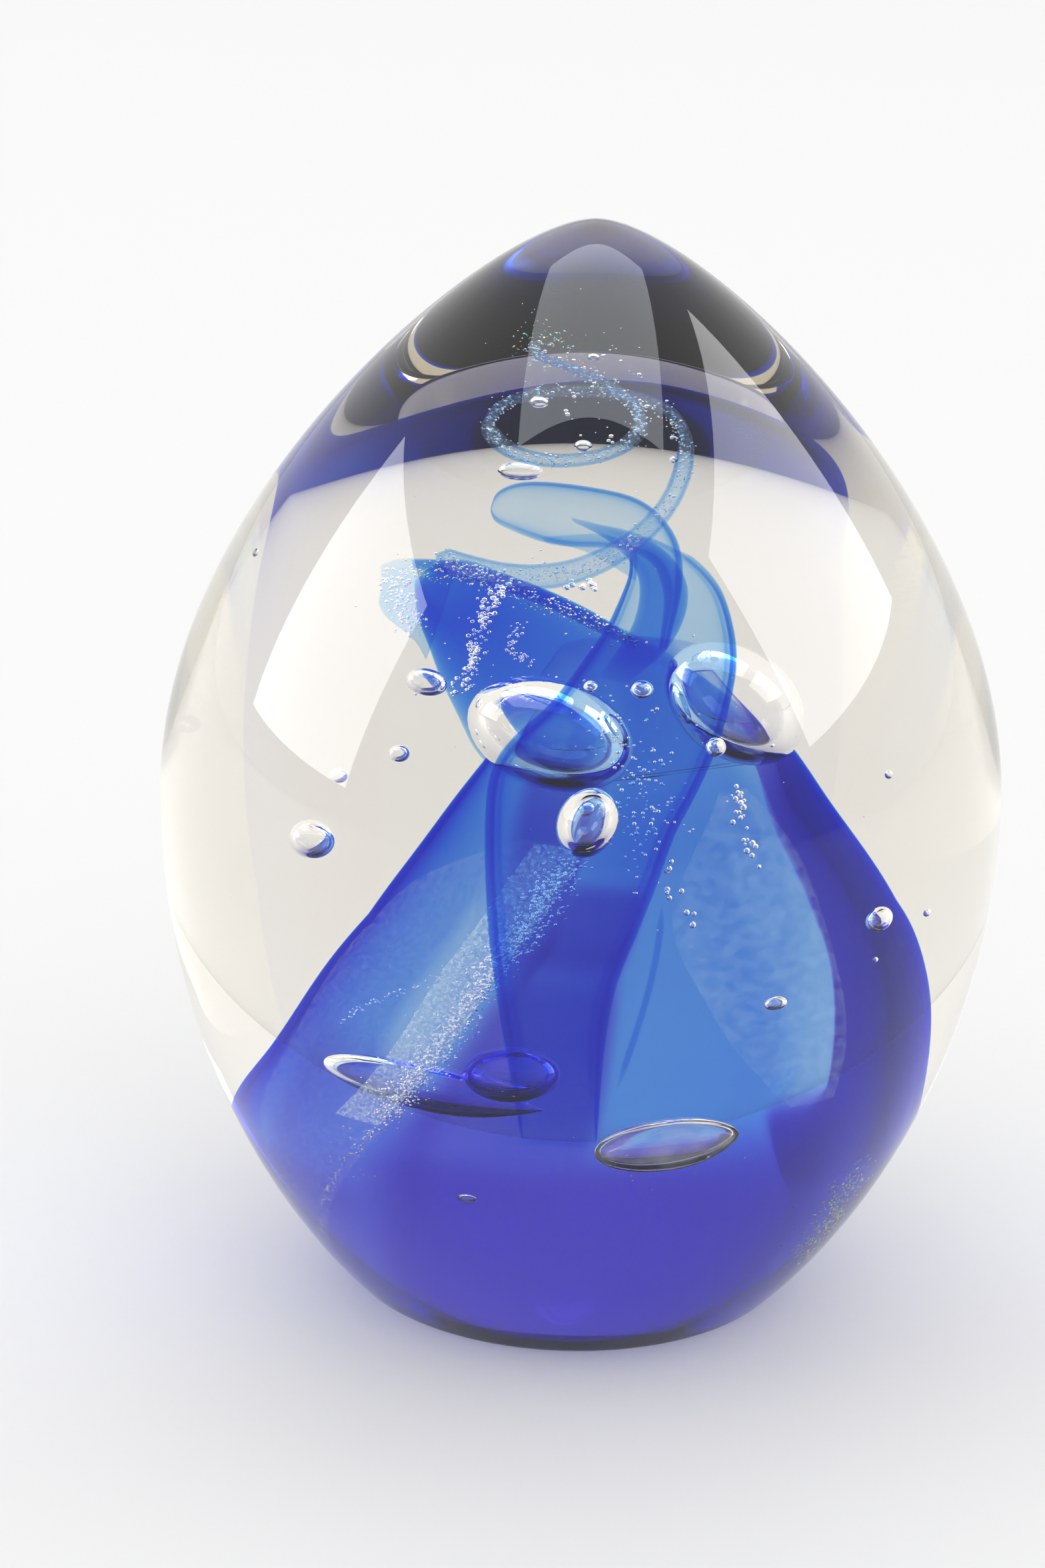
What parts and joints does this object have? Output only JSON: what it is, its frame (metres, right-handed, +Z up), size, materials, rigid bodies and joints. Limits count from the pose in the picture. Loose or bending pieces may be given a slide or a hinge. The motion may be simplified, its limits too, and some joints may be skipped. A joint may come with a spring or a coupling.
{
  "type": "paperweight",
  "caption": "Egg-shaped clear glass paperweight on a flat ground foot, holding a cobalt-blue tent, twisted blue ribbons, a speckled cane coil and bubbles.",
  "frame": {"origin": "centre of the ground flat foot, on the surface that the paperweight stands on", "axes": "+Z up along the egg's axis from foot to tip; -Y towards the viewer's side, where the front ribbon shows; +X to the viewer's right"},
  "size_m": [0.076, 0.076, 0.099],
  "materials": {
    "clear_glass": "fire-polished clear art glass, high gloss",
    "cobalt_glass": "transparent cobalt-blue glass, colour deepens with thickness",
    "pale_blue_glass": "thin pale blue glass with a slight frost",
    "speckled_blue_glass": "blue glass full of fine air seeds, with a sparkling edge",
    "powder_glass": "pale blue powdered glass, slightly streaked",
    "speckled_cane": "flat hollow cane of blue glass with fine seeds and green-gold flecks",
    "dichroic_flake": "iridescent teal and gold chips"
  },
  "bodies": {
    "root": {"clear_casing": "clear_glass", "clear_core": "clear_glass", "blue_tent": "cobalt_glass", "front_ribbon": "cobalt_glass", "curl_ribbon": "pale_blue_glass", "flag_ribbon": "cobalt_glass", "speckled_veil": "speckled_blue_glass", "powder_veil": "powder_glass", "spiral_thread": "speckled_cane", "pale_thread": "pale_blue_glass", "dichroic_flakes": "dichroic_flake"}
  },
  "joints": []
}
